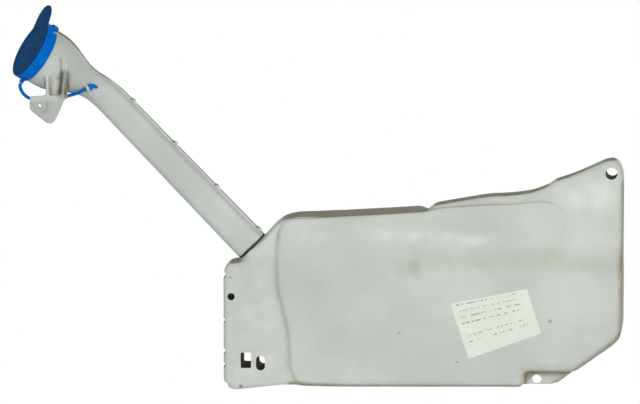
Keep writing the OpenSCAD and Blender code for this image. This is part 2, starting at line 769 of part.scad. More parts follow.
// One ring of the strap: half its width lies along the mouth's surface, half its thickness across it
function strap_ring(at, along, width, thick) =
    let (out = unit([0, -1, 0] - ([0, -1, 0] * along) * along), aside = cross(along, out))
    [for (k = [0 : 7]) at + width * cos(45 * k + 22.5) * aside + thick * sin(45 * k + 22.5) * out];

module cap_tether() {
    count = len(strap_path);
    tail = [[barb_at, barb_r], [barb_at + barb_len * eyelet_dir, tether_r], [route[10], tail_r]];
    rings = concat(
        [for (i = [0 : count - 1])
            let (along = unit(strap_path[min(i + 1, count - 1)] - strap_path[max(i - 1, 0)]))
            strap_ring(strap_path[i], i == 0 ? [-1, 0, 0] : along, tether_r, tether_r)],
        [for (t = tail) strap_ring(t[0], eyelet_dir, t[1], tether_r)]
    );
    color(blue) mouth_frame() skin(rings);
}

// Rubber sleeve that grips the outlet's edge and takes the pump's inlet
module pump_grommet() {
    lip = 1;
    flange_out = 3;
    color(rubber) translate([outlet_at.x, back_depth, outlet_at.y]) rotate([90, 0, 0])
        rotate_extrude() polygon([
            [pump_bore_r, -grommet_flange],
            [pump_bore_r, wall + seal_gap + grommet_flange],
            [outlet_r - chamfer, wall + seal_gap + grommet_flange],
            [outlet_r + lip, wall + seal_gap],
            [outlet_r - seal_gap, wall + seal_gap],
            [outlet_r - seal_gap, 0],
            [outlet_r + flange_out, 0],
            [outlet_r + flange_out, -grommet_flange]
        ]);
}

// The sticker lies on the flat of the bulge's front
module label() {
    across = label_w * [cos(label_turn), sin(label_turn)];
    down = [sin(label_lean), -cos(label_lean)];
    corner = [-label_reach, -label_drop];
    color(paper) slab(-front_depth - label_thick, -front_depth)
        polygon([corner, corner + across, corner + across + label_right_h * down,
            corner + label_left_h * down]);
}

tank();
tank_ear();
tank_edge();
neck_grommet();
filler_neck();
filler_cap();
cap_tether();
pump_grommet();
label();
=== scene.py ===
import math
import bmesh
import bpy
import numpy as np
from mathutils import Matrix, Vector, kdtree


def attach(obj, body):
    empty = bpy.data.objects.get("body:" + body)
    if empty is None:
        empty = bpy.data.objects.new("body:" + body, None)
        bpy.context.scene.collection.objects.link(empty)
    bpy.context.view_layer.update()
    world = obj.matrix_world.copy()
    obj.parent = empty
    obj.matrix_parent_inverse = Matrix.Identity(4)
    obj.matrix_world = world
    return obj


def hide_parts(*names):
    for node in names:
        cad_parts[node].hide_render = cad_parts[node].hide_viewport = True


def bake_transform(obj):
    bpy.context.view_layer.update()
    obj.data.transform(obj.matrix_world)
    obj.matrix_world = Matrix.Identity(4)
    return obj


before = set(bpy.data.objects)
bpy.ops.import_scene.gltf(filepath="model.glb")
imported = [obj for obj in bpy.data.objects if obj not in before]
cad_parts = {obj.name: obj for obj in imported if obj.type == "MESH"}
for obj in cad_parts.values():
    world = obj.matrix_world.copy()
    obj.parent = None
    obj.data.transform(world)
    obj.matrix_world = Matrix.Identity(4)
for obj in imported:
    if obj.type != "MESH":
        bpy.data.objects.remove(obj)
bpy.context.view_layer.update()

# Tank: one blow-moulded shell of natural polyethylene, pinched flat at the ear, the left end and the lug.
# Its front is crowned and its holes are punched after moulding. Years of road dirt sit along its lower edges;
# its top is darkened with dust and painted shade, its creases are darker, and pale highlights are painted on it.
mm = 0.001
tank_voxel = 1.7 * mm
tank_passes = 7
flange_y = -7
bulge_high = 15
depthwise = (0, 1, 0)
tube_slope = math.radians(46)
tube_dir = Vector((-math.cos(tube_slope), 0, math.sin(tube_slope)))
port_at = Vector((-340.3, 10.5, -78.56)) * mm
outlet_at = Vector((-250, 42, -179)) * mm


def tone(red, green, blue):
    """A colour as seen on a screen, 0 to 255, as the linear values that a shader takes."""
    linear = [(c / 255 / 12.92) if c < 10 else ((c / 255 + 0.055) / 1.055) ** 2.4 for c in (red, green, blue)]
    return (*linear, 1.0)


def shade(colour, share):
    """A darker tone of a colour."""
    return (*(c * share for c in colour[:3]), 1.0)


def merged(*nodes):
    """The CAD nodes' loose triangles as one joined shape."""
    shape = bmesh.new()
    for node in nodes:
        shape.from_mesh(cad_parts[node].data)
    bmesh.ops.remove_doubles(shape, verts=shape.verts, dist=0.002 * mm)
    return shape


def bar(shape, middle, axis, radius, length, sides=64):
    """Adds a closed round bar, which is a plug or a punch."""
    turn = Vector(axis).to_track_quat("Z", "Y").to_matrix().to_4x4()
    bmesh.ops.create_cone(shape, cap_ends=True, segments=sides, radius1=radius, radius2=radius, depth=length,
                          matrix=Matrix.Translation(middle) @ turn)


def as_piece(shape, name):
    """A finished shape as an object of its own."""
    mesh = bpy.data.meshes.new(name)
    shape.to_mesh(mesh)
    shape.free()
    piece = bpy.data.objects.new(name, mesh)
    bpy.context.scene.collection.objects.link(piece)
    return piece


def apply_modifiers(piece):
    """Makes a piece's modifiers part of its mesh."""
    shaped = bpy.data.meshes.new_from_object(piece.evaluated_get(bpy.context.evaluated_depsgraph_get()))
    piece.modifiers.clear()
    old, piece.data = piece.data, shaped
    bpy.data.meshes.remove(old)


def remoulded(shape, name, voxel, passes):
    """A shape melted into one skin, with the soft edges that moulding leaves."""
    piece = as_piece(shape, name)
    remesh = piece.modifiers.new("skin", "REMESH")
    remesh.mode = "VOXEL"
    remesh.voxel_size = voxel
    apply_modifiers(piece)
    skin = bmesh.new()
    skin.from_mesh(piece.data)
    for _ in range(passes):
        bmesh.ops.smooth_vert(skin, verts=skin.verts, factor=0.5, use_axis_x=True, use_axis_y=True, use_axis_z=True)
    skin.to_mesh(piece.data)
    skin.free()
    return piece


def punched(piece, punches, lining):
    """Holes with crisp edges, lined with one of the piece's materials."""
    for face in punches.faces:
        face.material_index = lining
    tool = as_piece(punches, piece.name + "_punch")
    hole = piece.modifiers.new("holes", "BOOLEAN")
    hole.operation = "DIFFERENCE"
    hole.solver = "EXACT"
    hole.object = tool
    apply_modifiers(piece)
    bpy.data.meshes.remove(tool.data)


def smooth_faces(piece, degrees):
    """Shades a piece smooth, apart from edges sharper than an angle."""
    piece.data.polygons.foreach_set("use_smooth", [True] * len(piece.data.polygons))
    piece.data.set_sharp_from_angle(angle=math.radians(degrees))


def points_of(mesh):
    """Where a mesh's points are, and which way each one faces."""
    places = np.empty(len(mesh.vertices) * 3)
    facing = np.empty(len(mesh.vertices) * 3)
    mesh.vertices.foreach_get("co", places)
    mesh.vertex_normals.foreach_get("vector", facing)
    return places.reshape(-1, 3), facing.reshape(-1, 3)


def moved(mesh, places):
    """Puts a mesh's points in new places."""
    mesh.vertices.foreach_set("co", places.ravel())
    mesh.update()


def ease(low, high, value):
    """0 at low, 1 at high, and eased in between."""
    t = np.clip((value - low) / (high - low), 0, 1)
    return t * t * (3 - 2 * t)


def near_line(x, z, corners):
    """Distance in millimetres from a line of corners drawn on the front."""
    nearest = np.full(len(x), 1e6)
    for (x0, z0), (x1, z1) in zip(corners, corners[1:]):
        along = np.clip(((x - x0) * (x1 - x0) + (z - z0) * (z1 - z0)) / ((x1 - x0) ** 2 + (z1 - z0) ** 2), 0, 1)
        nearest = np.minimum(nearest, np.hypot(x - x0 - along * (x1 - x0), z - z0 - along * (z1 - z0)))
    return nearest


def crowned(x, z):
    """Share of the bulge's height that is left towards its left and upper edges and the pocket."""
    left = [(-304, -205), (-306, -154), (-317, -111), (-317, -60), (-300, -46)]
    top = [(-300, -46), (-176, -42), (-120, -34), (-52, -36)]
    pocket = [(-52, -36), (-46, -60), (-46, -80), (12, -84)]
    at_edge, rise = 0.33, 0.67
    full = 1
    for edge in (left, top, pocket):
        full = full * ease(3, 60, near_line(x, z, edge))
    return at_edge + rise * full


def front_relief(x, z):
    """How far the bulge's front stands out past its crown, in millimetres, from places in millimetres."""
    groove_z = -88 + (x + 195) * 0.092
    groove = -1.5 * np.exp(-((z - groove_z) / 11) ** 2) * ease(-212, -120, x) * (1 - ease(-66, -46, x))
    ridge = 0.9 * np.exp(-((z + 57) / 13) ** 2) * ease(-305, -262, x) * (1 - ease(-120, -80, x))
    fold_x = -198 + (-88 - z) * 0.392
    fold = 1.2 * ease(-15, 17, x - fold_x) * (1 - ease(-98, -84, z)) * (1 - ease(-60, 0, x)) * ease(-200, -185, z)
    waves = 0.22 * np.sin(x / 23 + 1.3) * np.sin(z / 31 + 0.7) + 0.14 * np.sin(x / 11 + z / 17)
    return groove + ridge + fold + waves


def neighbours(mesh):
    """A function that gives each point the mean of the values around it."""
    ends = np.empty(len(mesh.edges) * 2, dtype=np.int64)
    mesh.edges.foreach_get("vertices", ends)
    a, b = ends.reshape(-1, 2).T
    count = np.bincount(ends, minlength=len(mesh.vertices))

    def around(values):
        total = np.bincount(a, values[b], len(count)) + np.bincount(b, values[a], len(count))
        return total / count

    return around


def hollows(mesh, places, facing, rounds):
    """How deep in a crease each point lies, spread over its neighbours a few times."""
    around = neighbours(mesh)
    depth = sum((around(places[:, k]) - places[:, k]) * facing[:, k] for k in range(3))
    for _ in range(rounds):
        depth = around(depth)
    return depth


def store(mesh, name, values):
    """Keeps a value for each point, for a material to read."""
    layer = mesh.attributes.new(name, "FLOAT", "POINT")
    layer.data.foreach_set("value", np.asarray(values, dtype=np.float32))


class Wired:
    """A socket that takes part in sums: 1 - mask * 0.5 adds the Math nodes that it needs."""

    def __init__(self, tree, socket):
        self.tree, self.socket = tree, socket

    def node(self, kind, settings=None, sockets=None, output=0):
        made = self.tree.nodes.new(kind)
        for name, setting in (settings or {}).items():
            setattr(made, name, setting)
        for name, given in (sockets or {}).items():
            if isinstance(given, Wired):
                self.tree.links.new(given.socket, made.inputs[name])
            else:
                made.inputs[name].default_value = given
        return Wired(self.tree, made.outputs[output])

    def alone(self, operation):
        return self.node("ShaderNodeMath", {"operation": operation}, {0: self})

    def sum(self, operation, first, second):
        return self.node("ShaderNodeMath", {"operation": operation}, {0: first, 1: second})

    def __add__(self, other):
        return self.sum("ADD", self, other)

    def __radd__(self, other):
        return self.sum("ADD", other, self)

    def __sub__(self, other):
        return self.sum("SUBTRACT", self, other)

    def __rsub__(self, other):
        return self.sum("SUBTRACT", other, self)

    def __mul__(self, other):
        return self.sum("MULTIPLY", self, other)

    def __rmul__(self, other):
        return self.sum("MULTIPLY", other, self)

    def between(self, low, high):
        """0 below low, 1 above high, and eased in between."""
        return self.node("ShaderNodeMapRange", {"interpolation_type": "SMOOTHSTEP"},
                         {"Value": self, "From Min": low, "From Max": high})

    def stored(self, name):
        """A value kept on the piece's points."""
        return self.node("ShaderNodeAttribute", {"attribute_name": name}, None, "Fac")

    def stretched(self, scale, turn=(0.0, 0.0, 0.0)):
        """A coordinate, turned and scaled along each axis."""
        return self.node("ShaderNodeMapping", None, {"Vector": self, "Rotation": turn, "Scale": scale})

    def blotches(self, scale, detail=3.0, rough=0.55):
        """Cloudy values about 0.5, from a coordinate."""
        return self.node("ShaderNodeTexNoise", None,
                         {"Vector": self, "Scale": scale, "Detail": detail, "Roughness": rough})

    def bump(self, strength, distance):
        """The normal of a surface that has this height."""
        return self.node("ShaderNodeBump", None, {"Strength": strength, "Distance": distance, "Height": self}, "Normal")

    def over(self, under, colour):
        """This mask lays a colour over another."""
        return self.node("ShaderNodeMix", {"data_type": "RGBA", "clamp_factor": True},
                         {0: self, 6: under, 7: colour}, 2)


def finish(name, **constants):
    """A new material: its place on the object, and what feeds its shader."""
    material = bpy.data.materials.new(name)
    material.use_nodes = True
    tree = material.node_tree
    shader = tree.nodes["Principled BSDF"]
    for socket, value in constants.items():
        shader.inputs[socket.replace("_", " ")].default_value = value
    start = Wired(tree, None)
    place = start.node("ShaderNodeTexCoord", None, None, "Object")

    def feed(**sockets):
        for socket, given in sockets.items():
            tree.links.new(given.socket, shader.inputs[socket.replace("_", " ")])

    return material, place, feed


def polyethylene(name, base, dirt_and_shade, top_dust_and_shade, settles):
    """Natural polyethylene, cloudy and satin, with brown dirt, painted shade and a pale painted sheen where the stored
    values say.

    Dust and painted shade lie on what faces up, more and more between the two slopes in settles.
    """
    sheen_and_scratch_pale = tone(226, 231, 225)
    material, place, feed = finish(name, Specular_IOR_Level=0.14)
    grime_and_shade, painted_sheen, dust_and_shade_allowed = place.stored("grime_and_shade"), place.stored("painted_sheen"), place.stored("dust_and_shade")
    facing = place.node("ShaderNodeTexCoord", None, None, "Normal")
    up = place.node("ShaderNodeSeparateXYZ", None, {0: facing}, "Z")
    clouds = place.blotches(13.0, 3.0)
    streaks = place.stretched((90.0, 90.0, 12.0)).blotches(1.0, 4.0)
    smears = place.blotches(55.0, 4.0, 0.6)
    grains = place.blotches(420.0, 4.0, 0.7)
    scratches = place.stretched((14.0, 60.0, 420.0), (0.0, 0.5, 0.0)).blotches(1.0, 2.0)
    colour = clouds.between(0.3, 0.7).over(shade(base, 0.87), base)
    # Painted highlight: a pale sheen from the stored values, and fine pale scratches.
    sheen_patches = (painted_sheen * (0.3 + 0.7 * smears.between(0.25, 0.8))).between(0.05, 0.9)
    colour = (sheen_patches * 0.5 + 0.07 * scratches.between(0.68, 0.74)).over(colour, sheen_and_scratch_pale)
    # Brown dirt and painted shade from the stored values.
    soiled_and_shaded = (grime_and_shade * (0.3 + 1.1 * smears) + 0.12 * grime_and_shade * grains).between(0.04, 0.95)
    colour = (soiled_and_shaded * 0.92).over(colour, dirt_and_shade)
    specks = grains.between(0.75, 0.8) * place.blotches(26.0).between(0.54, 0.7)
    colour = (specks * 0.4).over(colour, dirt_and_shade)
    # Dust with painted shade on what faces up, darker than the plastic.
    settled_dust_and_shade = dust_and_shade_allowed * up.between(*settles) * (0.8 + 0.3 * streaks)
    colour = settled_dust_and_shade.over(colour, grains.between(0.3, 0.75).over(shade(top_dust_and_shade, 0.7), top_dust_and_shade))
    feed(Base_Color=colour, Roughness=0.5 + 0.1 * clouds + 0.2 * soiled_and_shaded + 0.3 * settled_dust_and_shade,
         Normal=place.blotches(190.0, 3.0).bump(0.1, 0.0006))
    return material


# The CAD's holes are plugged while the skin is remoulded.
shape = merged("tank", "tank_ear", "tank_edge")
bar(shape, port_at - 6 * mm * tube_dir, tube_dir, 14 * mm, 16 * mm)
bar(shape, outlet_at - Vector((0, 2.5, 0)) * mm, depthwise, 12.5 * mm, 5 * mm)
for middle, radius, length in [
        ((0, 12, 0), 7, 23.6), ((-361, 10.5, -123), 5, 34.6), ((-347, 10.5, -184.5), 9.6, 34.6),
        ((-333, 10.5, -187), 8, 34.6), ((-69.5, 2.5, -198), 5, 4.6)]:
    bar(shape, Vector(middle) * mm, depthwise, radius * mm, length * mm)
tank = remoulded(shape, "tank_shell", tank_voxel, tank_passes)
places, _ = points_of(tank.data)
x, y, z = (places / mm).T

# The bulge is crowned, and lowest along the ridge under the flange.
low_ridge = [(-150, -38), (-120, -34), (-52, -36)]
y = np.where(y < flange_y, flange_y + (y - flange_y) * crowned(x, z), y)
lowered = 0.5 * (1 - ease(2, 44, near_line(x, z, low_ridge))) * ease(-176, -140, x)
y = np.where(y < 0, y * (1 - lowered), y)

# The top edge falls to the left, the bottom edge sags, and the flange and the ear stand a little higher.
falls = -1.7 + 5.4 * np.clip((x + 301) / 129, 0, 1) + 0.9 * (42 - y) / 52.5
in_front = ease(0, -6, y)
ends = in_front * (1 - ease(-172, -110, x)) + (1 - in_front) * (1 - ease(-184, -174, x))
sags = 2 * ease(-185, -200, z) * ease(-312, -290, x)
z = z + falls * ease(-88, -55, z) * ease(-330, -303, x) * ends - sags
z = z + 4.2 * np.exp(-((x + 66) / 24) ** 2) * ease(-46, -26, z)
ear_edge = [(-48, -12), (-6, 10), (5, 11)]
z = z + 2.7 * (1 - ease(3, 13, near_line(x, z, ear_edge)))

# The step round the pocket under the ear becomes a soft slope: its two edges slide apart, and are smoothed.
pocket_x, pocket_z, corner_r = -46, -80, 22
smooth_rounds = 110
aside, below = np.maximum(corner_r + pocket_x - x, 0), np.maximum(corner_r + pocket_z - z, 0)
away = np.maximum(np.hypot(aside, below), 1e-6)
past_edge = away - corner_r + np.minimum(np.maximum(pocket_x - x, pocket_z - z) + corner_r, 0)
in_skin = 1 - ease(3, 8, y)
slide = 8 * (2 * ease(-1, -10, y) - 1) * np.exp(-(past_edge / 24) ** 2) * in_skin * (1 - ease(-48, -24, z))
x, z = x - slide * aside / away, z - slide * below / away
soft = (1 - ease(14, 30, abs(past_edge))) * (1 - ease(-44, -30, z))
for near, far, corners in [(2, 10, [(-160, -41), (-120, -35), (-84, -36), (-40, -42)]),
                           (6, 20, [(-76, -38), (-48, -40), (-44, -62)])]:
    soft = np.maximum(soft, 1 - ease(near, far, near_line(x, z, corners)))
soft = soft * in_skin * (1 - ease(2, 8, x))
around = neighbours(tank.data)
for _ in range(smooth_rounds):
    y = y + 0.5 * soft * (around(y) - y)
moved(tank.data, np.stack([x, y, z], 1) * mm)
places, facing = points_of(tank.data)
ahead = ease(0.25, 0.85, -facing[:, 1]) * ease(-7, -11, y)
places[:, 1] -= front_relief(x, z) * ahead * mm
moved(tank.data, places)

# Creases are found before the punching, which changes the mesh, and are looked up again after it.
places, facing = points_of(tank.data)
crease = np.clip(hollows(tank.data, places, facing, 2) / (0.05 * mm), 0, 1)
unpunched = kdtree.KDTree(len(places))
for i, point in enumerate(places):
    unpunched.insert(point, i)
unpunched.balance()

# Colours: the plastic, a road dirt brown that also paints shade, and dust with painted shade for the top.
natural, road_dirt_and_shade, upper_dust_and_shade = tone(200, 206, 198), tone(139, 128, 96), tone(150, 146, 126)
tank.data.materials.append(polyethylene("tank_polyethylene", natural, road_dirt_and_shade, upper_dust_and_shade, (0.8, 0.95)))
# A dark lining for holes: painted shade inside them, with dirt.
lining, place, feed = finish("hole_shade_and_dirt", Specular_IOR_Level=0.1)
feed(Base_Color=place.blotches(240.0, 4.0).between(0.35, 0.75).over(tone(40, 36, 30), tone(78, 70, 55)),
     Roughness=0.8 + 0.2 * place.blotches(90.0))
tank.data.materials.append(lining)
clean_lining, shaded_dirty_lining = 0, 1
past_both_faces = 60

# The lug's hole, the outlet, the port and the nicks in the left edge keep the plastic's own colour.
punches = bmesh.new()
bar(punches, Vector((-69.5, 2, -199.5)) * mm, depthwise, 4.5 * mm, 12 * mm, 48)
bar(punches, outlet_at - Vector((0, 12, 0)) * mm, depthwise, 11 * mm, 40 * mm)
bar(punches, port_at - 8 * mm * tube_dir, tube_dir, 13 * mm, 30 * mm)
for nick_x, nick_z, nick_r in [(-369.2, -103, 3.4), (-369.0, -147, 2.4), (-369.2, -177, 3.2), (-368.8, -190, 2.4),
                               (-367.6, -210, 3.2), (-350, -216.5, 2.6)]:
    bar(punches, Vector((nick_x, 10, nick_z)) * mm, depthwise, nick_r * mm, past_both_faces * mm, 16)
punched(tank, punches, clean_lining)

# The two bolt holes and the two windows of the left end are lined dark, with painted shade and dirt.
punches = bmesh.new()
bar(punches, Vector((0, 12, 0)) * mm, depthwise, 5.7 * mm, 40 * mm)
bar(punches, Vector((-361, 10, -123)) * mm, depthwise, 3.5 * mm, past_both_faces * mm, 48)
for middle, width, height, corner, steps in [((-347, 10, -184.5), 10, 15, 1.2, 3), ((-333, 10, -187), 8.5, 14, 3.9, 8)]:
    window = bmesh.ops.create_cube(punches, size=mm, matrix=Matrix.Translation(Vector(middle) * mm)
                                   @ Matrix.Diagonal((width, past_both_faces, height, 1)))["verts"]
    bmesh.ops.bevel(punches, geom=[e for e in {e for v in window for e in v.link_edges}
                                   if abs((e.verts[0].co - e.verts[1].co).y) > 10 * mm],
                    offset=corner * mm, segments=steps, profile=0.5, affect="EDGES", material=-1)
punched(tank, punches, shaded_dirty_lining)
smooth_faces(tank, 38)

# Darker in the creases, but not on the soft slopes, and along the right edge; road dirt lies along the lower edges, in
# the groove and in a few stains and spots; a painted shadow lies along the lug's step, and painted shade beside the
# slope down to the pocket.
places, facing = points_of(tank.data)
x, y, z = (places / mm).T
crease = np.array([crease[unpunched.find(point)[1]] for point in places])
ahead = ease(0.1, 0.7, -facing[:, 1])
grime_and_shade = 0.6 * crease
for near, far, corners in [(20, 44, [(-70, -38), (-46, -45), (-46, -80), (20, -82)]),
                           (12, 22, [(-205, -89), (-60, -76)]), (12, 18, [(-165, -56), (-60, -52)])]:
    grime_and_shade = grime_and_shade * ease(near, far, near_line(x, z, corners))
# Lines: dirt along the lower edge and the lower right edge, a painted shadow along the lug's step, a stain, dirt in the
# groove, and painted shade beside the slope down to the pocket.
for strength, near, far, corners in [
        (0.9, 0.5, 7, [(-304, -208), (-81, -205)]), (0.7, 1, 9, [(11.5, -155), (-51.5, -205)]),
        (0.4, 0, 3, [(-81, -204), (-81, -191), (-33, -191)]), (0.15, 0, 9, [(-184, -88), (-181, -96)]),
        (0.3, 0, 22, [(-196, -89.5), (-171, -82.5), (-62, -80.5), (9, -86)]),
        (0.12, 0, 18, [(-58, -46), (-56, -72)])]:
    grime_and_shade += strength * ahead * (1 - ease(near, far, near_line(x, z, corners)))
grime_and_shade += 0.6 * ease(4, 11.5, x) * (1 - ease(-12, 0, z))
for spot_x, spot_z, spot_r in [(-56, -138.6, 3), (-199.5, -152.3, 2.2), (-144, -179.5, 2.2), (-362, -104, 2),
                               (-352, -210, 3)]:
    grime_and_shade += 0.9 * ahead * (1 - ease(0.3, 1, np.hypot(x - spot_x, z - spot_z) / spot_r))
store(tank.data, "grime_and_shade", np.clip(grime_and_shade, 0, 1))
# Where the dust and painted shade on top may lie: much less of it on the front of the bulge's right part.
store(tank.data, "dust_and_shade", 1 - 0.9 * ease(-176, -160, x) * ease(0, -2, y) * ease(-190, -180, z))

# Painted highlights: the plastic is painted pale along the upper ridge, on the ear and in a few patches below them, as
# a sheen; it is paler at the left end too.
painted_sheen = np.zeros(len(x))
for strength, wide, corners in [(0.45, 9, [(-290, -62), (-200, -58), (-90, -62)]),
                                (0.5, 7, [(-215, -60), (-160, -58), (-125, -66)])]:
    painted_sheen += strength * np.exp(-(near_line(x, z, corners) / wide) ** 2)
for spot_x, spot_z, wide, high, strength in [(-20, -20, 34, 14, 1.2), (-18, -62, 30, 26, 0.35),
                                             (-28, -153, 22, 10, 0.4), (-104, -190, 7, 6, 0.4)]:
    painted_sheen += strength * np.exp(-((x - spot_x) / wide) ** 2 - ((z - spot_z) / high) ** 2)
painted_sheen += 0.55 * (1 - ease(-324, -313, x))
store(tank.data, "painted_sheen", np.clip(ahead * painted_sheen, 0, 1))
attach(tank, "reservoir")
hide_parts("tank", "tank_ear", "tank_edge")

# Seals: two black rubber sleeves, one in the port under the filler neck and one in the back for the pump.
# They are pressed into the tank's holes and keep the dull bloom of old rubber.
rubber, place, feed = finish("seal_rubber_black", Specular_IOR_Level=0.4)
bloom = place.blotches(160.0, 4.0)
feed(Base_Color=bloom.between(0.35, 0.75).over(tone(22, 22, 22), tone(48, 47, 44)), Roughness=0.55 + 0.3 * bloom,
     Normal=place.blotches(900.0).bump(0.2, 0.0003))
for seal in ("neck_grommet", "pump_grommet"):
    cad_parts[seal].data.materials.clear()
    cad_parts[seal].data.materials.append(rubber)

# Filler neck: a blow-moulded tube of the same plastic, flat-sided, that bends and flares into a round mouth.
# A tab on two fins bolts it to the body, nubs run along its upper edge and its foot plugs into the port.
neck_voxel = 1.0 * mm
neck_passes = 4
rim_at = Vector((-548.99, -18.59, 114.57)) * mm
mouth_dir = Vector((-0.7747, -0.3449, 0.5299)).normalized()
uphill = (Vector((0, 0, 1)) - mouth_dir.z * mouth_dir).normalized()
across = mouth_dir.cross(uphill)
mouth = Matrix((uphill, across, mouth_dir)).transposed().to_4x4()
mouth.translation = rim_at
into_mouth = mouth.inverted()
cup_deep = 60
left_fin_x, right_fin_x = -532, -516.5
right_fin_front = -33.2

# A sloping web joins the fins.
shape = merged("filler_neck")
web = Matrix(((19, 0, 0, -523.5 * mm), (0, 3, -3.5, -31.25 * mm), (0, 0, 24, 81 * mm), (0, 0, 0, 1)))
bmesh.ops.create_cube(shape, size=mm, matrix=web)
neck = remoulded(shape, "filler_tube", neck_voxel, neck_passes)

# The right fin tapers and both lean, while the cup of the mouth, found slice by slice, keeps its shape.
places, _ = points_of(neck.data)
x, y, z = (places / mm).T
local = np.array([into_mouth @ Vector(point) for point in places]) / mm
radius = np.hypot(local[:, 0], local[:, 1])
slices = np.round(local[:, 2]).astype(int)
far_side = local[:, 1] > 0
cup_r = np.array([np.percentile(radius[(abs(slices - k) < 2) & far_side], 90) for k in range(-cup_deep, 1)])
cup_here = cup_r[np.clip(slices, -cup_deep, 0) + cup_deep]
outside = ease(1.5, 3, radius - cup_here) * (slices > -cup_deep)
taper = ease(86, 105, z) * (1 - ease(2.6, 4.2, abs(x - right_fin_x))) * (1 - ease(108, 111, z))
places[:, 1] += taper * np.maximum(right_fin_front - y, 0) * mm
for fin_x, bend_z, low_lean, high_lean in [(left_fin_x, 91, 0, 0.55), (right_fin_x, 84.5, 0.1, 0.14)]:
    lean = np.where(z > bend_z, high_lean, low_lean) * (z - bend_z)
    by_fin = (1 - ease(4, 8, abs(x - fin_x))) * outside * ease(-14, -24, y) * ease(70, 77, z)
    places[:, 0] += lean * by_fin * mm
moved(neck.data, places)
smooth_faces(neck, 50)

# Darker in the creases and at the foot; painted shade and dirt between the fins; painted shade on the tab, in its
# slot, under the cup and on the edge away from the front.
places, facing = points_of(neck.data)
x, y, z = (places / mm).T
crease = np.clip(hollows(neck.data, places, facing, 3) / (0.04 * mm), 0, 1)
between_fins_shade_and_dirt = (1 - ease(3, 9, near_line(x, z, [(-516, 92), (-518, 76)]))) * ease(-12, -30, y)
in_slot = (1 - ease(2.6, 3.4, np.hypot(x + 538.67, z - 63.3))) * ease(-30, -36, y)
slot_wall_shade = in_slot * (1 - ease(0.5, 0.8, -facing[:, 1]))
foot = 1 - ease(0, 14, np.hypot(x + 347, z + 72) - 12)
faces_back = ease(0.35, 0.6, facing[:, 2]) * ease(-0.25, -0.05, facing[:, 1])
far_edge_shade = faces_back * np.maximum(ease(11, 13, y), ease(-470, -490, x))
under_cup_shade = ease(-0.8, -0.95, facing[:, 2]) * (1 - ease(-508, -500, x)) * ease(66, 72, z)
tab = ease(-30, -34, y) * (1 - ease(66, 72, z))
grime_and_shade = 0.5 * crease + 0.6 * between_fins_shade_and_dirt + slot_wall_shade + 0.2 * foot + 1.2 * far_edge_shade + 0.9 * under_cup_shade + 0.33 * tab
store(neck.data, "dust_and_shade", np.ones(len(x)))
store(neck.data, "grime_and_shade", np.clip(grime_and_shade, 0, 1))
# The neck's brown stands mostly for painted shade, and its top colour for dust and painted shade on its upper side.
natural, road_dirt_and_shade, upper_dust_and_shade = tone(195, 202, 195), tone(98, 90, 66), tone(104, 100, 84)
neck.data.materials.append(polyethylene("neck_polyethylene", natural, road_dirt_and_shade, upper_dust_and_shade, (0.9, 0.97)))
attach(neck, "reservoir")
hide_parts("filler_neck")

# Cap: a blue snap cap in injection-moulded polyethylene, with a thumb ear, a snap block and a notch in its skirt.
# Its top is dished a little, its top face is painted a darker blue as painted shade, and its edges are worn pale.
cap_voxel = 0.45 * mm
cap_passes = 2
ear_turn = Matrix.Rotation(math.radians(22), 4, "Z")
ear_root, ear_long, ear_half = 18, 30, 16.5
shape = merged("filler_cap")
for vert in shape.verts:
    at = into_mouth @ vert.co / mm
    if at.x > 28 and at.z > 0.2 and math.hypot(at.x, at.y) > 29.7:
        vert.co = mouth @ (ear_turn @ at * mm)
tongue = bmesh.ops.create_grid(shape, x_segments=30, y_segments=12, size=1)["verts"]
for vert in tongue:
    s = ear_root + ear_long * (vert.co.x + 1) / 2
    rounded = math.sqrt(max(0, 1 - (max(0, s - 24) / 24) ** 3))
    half = ear_half * rounded + 4 * max(0, 1 - (s - ear_root) / 13) ** 1.5
    lifted = 1.1 + 0.004 * max(0, s - 27) ** 2
    vert.co = mouth @ (ear_turn @ Vector((s, half * vert.co.y, lifted)) * mm)
plate = list({face for vert in tongue for face in vert.link_faces})
bmesh.ops.solidify(shape, geom=plate, thickness=1.5 * mm)
cap = remoulded(shape, "snap_cap", cap_voxel, cap_passes)
places, _ = points_of(cap.data)
local = np.array([into_mouth @ Vector(point) for point in places]) / mm
out = np.hypot(local[:, 0], local[:, 1])
dish = 0.5 * (1 - ease(23.2, 24.4, out)) + 0.3 * np.exp(-((out - 26.6) / 0.5) ** 2)
places -= (dish * (local[:, 2] > 1.2) * (local[:, 2] < 2.2) * mm)[:, None] * np.array(mouth_dir)
cap.data.vertices.foreach_set("co", places.ravel())
smooth_faces(cap, 45)
places, facing = points_of(cap.data)
store(cap.data, "edge", np.clip(-hollows(cap.data, places, facing, 1) / (0.05 * mm), 0, 1))
# The film mask marks the top face, which is painted a darker, blotchy blue as painted shade.
store(cap.data, "film", ease(0.6, 0.9, facing @ np.array(mouth_dir)) * (local[:, 2] > 0.8))
blue, place, feed = finish("cap_blue", Specular_IOR_Level=0.03)
edge, film = place.stored("edge"), place.stored("film")
scuffs = place.blotches(90.0, 5.0, 0.65)
dust_and_shade = place.blotches(260.0, 4.0, 0.7)
colour = scuffs.between(0.3, 0.75).over(tone(0, 92, 182), tone(0, 114, 212))
colour = (edge.between(0.25, 0.9) * scuffs.between(0.35, 0.7) * 0.5).over(colour, tone(50, 135, 215))
shaded_blue = dust_and_shade.between(0.3, 0.75).over(tone(0, 48, 90), tone(8, 76, 128))
colour = (film * (0.75 + 0.4 * scuffs)).over(colour, shaded_blue)
feed(Base_Color=colour, Roughness=0.5 + 0.2 * scuffs, Normal=place.blotches(500.0).bump(0.1, 0.0004))
cap.data.materials.append(blue)
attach(cap, "cap")
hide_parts("filler_cap")

